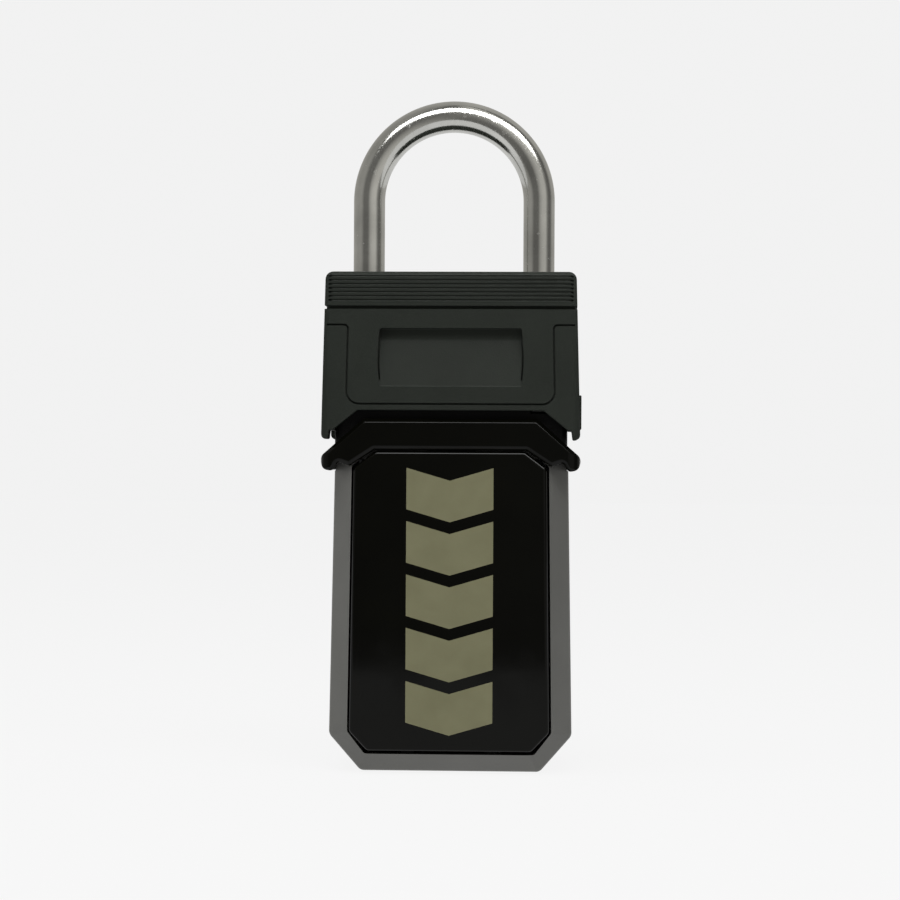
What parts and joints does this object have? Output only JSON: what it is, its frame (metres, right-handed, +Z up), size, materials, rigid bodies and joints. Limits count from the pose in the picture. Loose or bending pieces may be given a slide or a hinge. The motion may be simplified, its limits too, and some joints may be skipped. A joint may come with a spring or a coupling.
{
  "type": "portable combination key safe",
  "caption": "Padlock-shaped key safe with a shackle, sliding weather cover over number wheels, and a drop-down door on a key compartment.",
  "frame": {"origin": "middle of the flat bottom of the key case", "axes": "+Z up towards the shackle, -Y the front with the door and the number wheels, +X to the right as seen from the front"},
  "size_m": [0.0658, 0.0344, 0.1708],
  "materials": {
    "cover_rubber": "moulded rubber with a fine matte grain",
    "gasket_rubber": "soft sealing rubber",
    "gloss_black": "high gloss black",
    "case_grey": "satin grey paint over a zinc casting",
    "polished_steel": "polished bar with fine handling marks",
    "head_casting": "black painted casting",
    "dial_steel": "brushed steel",
    "wheel_plastic": "matte black with white numbers",
    "black_nylon": "moulded black nylon",
    "brass": "machined brass",
    "spring_steel": "plain spring steel and zinc plated screws"
  },
  "bodies": {
    "safe_body": {"shackle_gasket_left": "gasket_rubber", "shackle_gasket_right": "gasket_rubber", "collar": "gloss_black", "key_case": "case_grey", "lock_head": "head_casting", "head_rear_cover": "head_casting", "dial_faceplate": "dial_steel", "wheel_spindle": "dial_steel", "door_hinge_pin": "dial_steel", "fence_comb": "brass", "release_spring": "spring_steel", "shackle_spring": "spring_steel", "shackle_catch": "spring_steel", "detent_comb": "spring_steel", "strike_bar": "spring_steel", "heel_retaining_pin": "spring_steel", "shackle_catch_screw": "spring_steel", "case_screw_1": "spring_steel", "case_screw_2": "spring_steel", "case_screw_3": "spring_steel", "case_screw_4": "spring_steel", "strike_bar_screw_1": "spring_steel", "strike_bar_screw_2": "spring_steel", "rear_cover_rivet_1": "spring_steel", "rear_cover_rivet_2": "spring_steel", "rear_cover_rivet_3": "spring_steel", "rear_cover_rivet_4": "spring_steel"},
    "weather_cover": {"weather_cover": "cover_rubber"},
    "shackle": {"shackle": "polished_steel"},
    "wheel_1": {"number_wheel_1": "wheel_plastic", "code_hub_1": "brass"},
    "wheel_2": {"number_wheel_2": "wheel_plastic", "code_hub_2": "brass"},
    "wheel_3": {"number_wheel_3": "wheel_plastic", "code_hub_3": "brass"},
    "wheel_4": {"number_wheel_4": "wheel_plastic", "code_hub_4": "brass"},
    "release_slider": {"release_slider": "black_nylon"},
    "key_door": {"door_panel": "gloss_black", "door_inner_tray": "black_nylon", "door_catch_spring": "spring_steel", "door_screw_1": "spring_steel", "door_screw_2": "spring_steel", "door_screw_3": "spring_steel", "door_screw_4": "spring_steel"},
    "shackle_lever": {"shackle_release_lever": "black_nylon"},
    "code_reset": {"code_reset_lever": "black_nylon"}
  },
  "joints": [
    {"name": "cover_slide", "type": "slide", "parent": "safe_body", "child": "weather_cover", "axis": [0, 0, 1], "range_m": [0, 0.0185]},
    {"name": "shackle_lift", "type": "slide", "parent": "safe_body", "child": "shackle", "axis": [0, 0, 1], "range_m": [0, 0.017], "deforming": ["shackle_spring", "shackle_catch"]},
    {"name": "wheel_1_turn", "type": "hinge", "parent": "safe_body", "child": "wheel_1", "pos_m": [-0.0126, -0.0059, 0.0985], "axis": [1, 0, 0], "continuous": true, "deforming": ["detent_comb", "fence_comb"]},
    {"name": "wheel_2_turn", "type": "hinge", "parent": "safe_body", "child": "wheel_2", "pos_m": [-0.0042, -0.0059, 0.0985], "axis": [1, 0, 0], "continuous": true, "deforming": ["detent_comb", "fence_comb"]},
    {"name": "wheel_3_turn", "type": "hinge", "parent": "safe_body", "child": "wheel_3", "pos_m": [0.0042, -0.0059, 0.0985], "axis": [1, 0, 0], "continuous": true, "deforming": ["detent_comb", "fence_comb"]},
    {"name": "wheel_4_turn", "type": "hinge", "parent": "safe_body", "child": "wheel_4", "pos_m": [0.0126, -0.0059, 0.0985], "axis": [1, 0, 0], "continuous": true, "deforming": ["detent_comb", "fence_comb"]},
    {"name": "release_slide", "type": "slide", "parent": "safe_body", "child": "release_slider", "axis": [0, 0, 1], "range_m": [0, 0.004], "stiffness_N_per_m": 200, "springref_m": -0.002, "deforming": ["release_spring"]},
    {"name": "door_hinge", "type": "hinge", "parent": "safe_body", "child": "key_door", "pos_m": [0, -0.0147, 0.00695], "axis": [1, 0, 0], "range_deg": [0, 95], "deforming": ["door_catch_spring"]},
    {"name": "shackle_lever_slide", "type": "slide", "parent": "safe_body", "child": "shackle_lever", "axis": [0, 0, -1], "range_m": [0, 0.004], "stiffness_N_per_m": 150, "springref_m": -0.002},
    {"name": "code_reset_slide", "type": "slide", "parent": "safe_body", "child": "code_reset", "axis": [1, 0, 0], "range_m": [0, 0.004]}
  ]
}
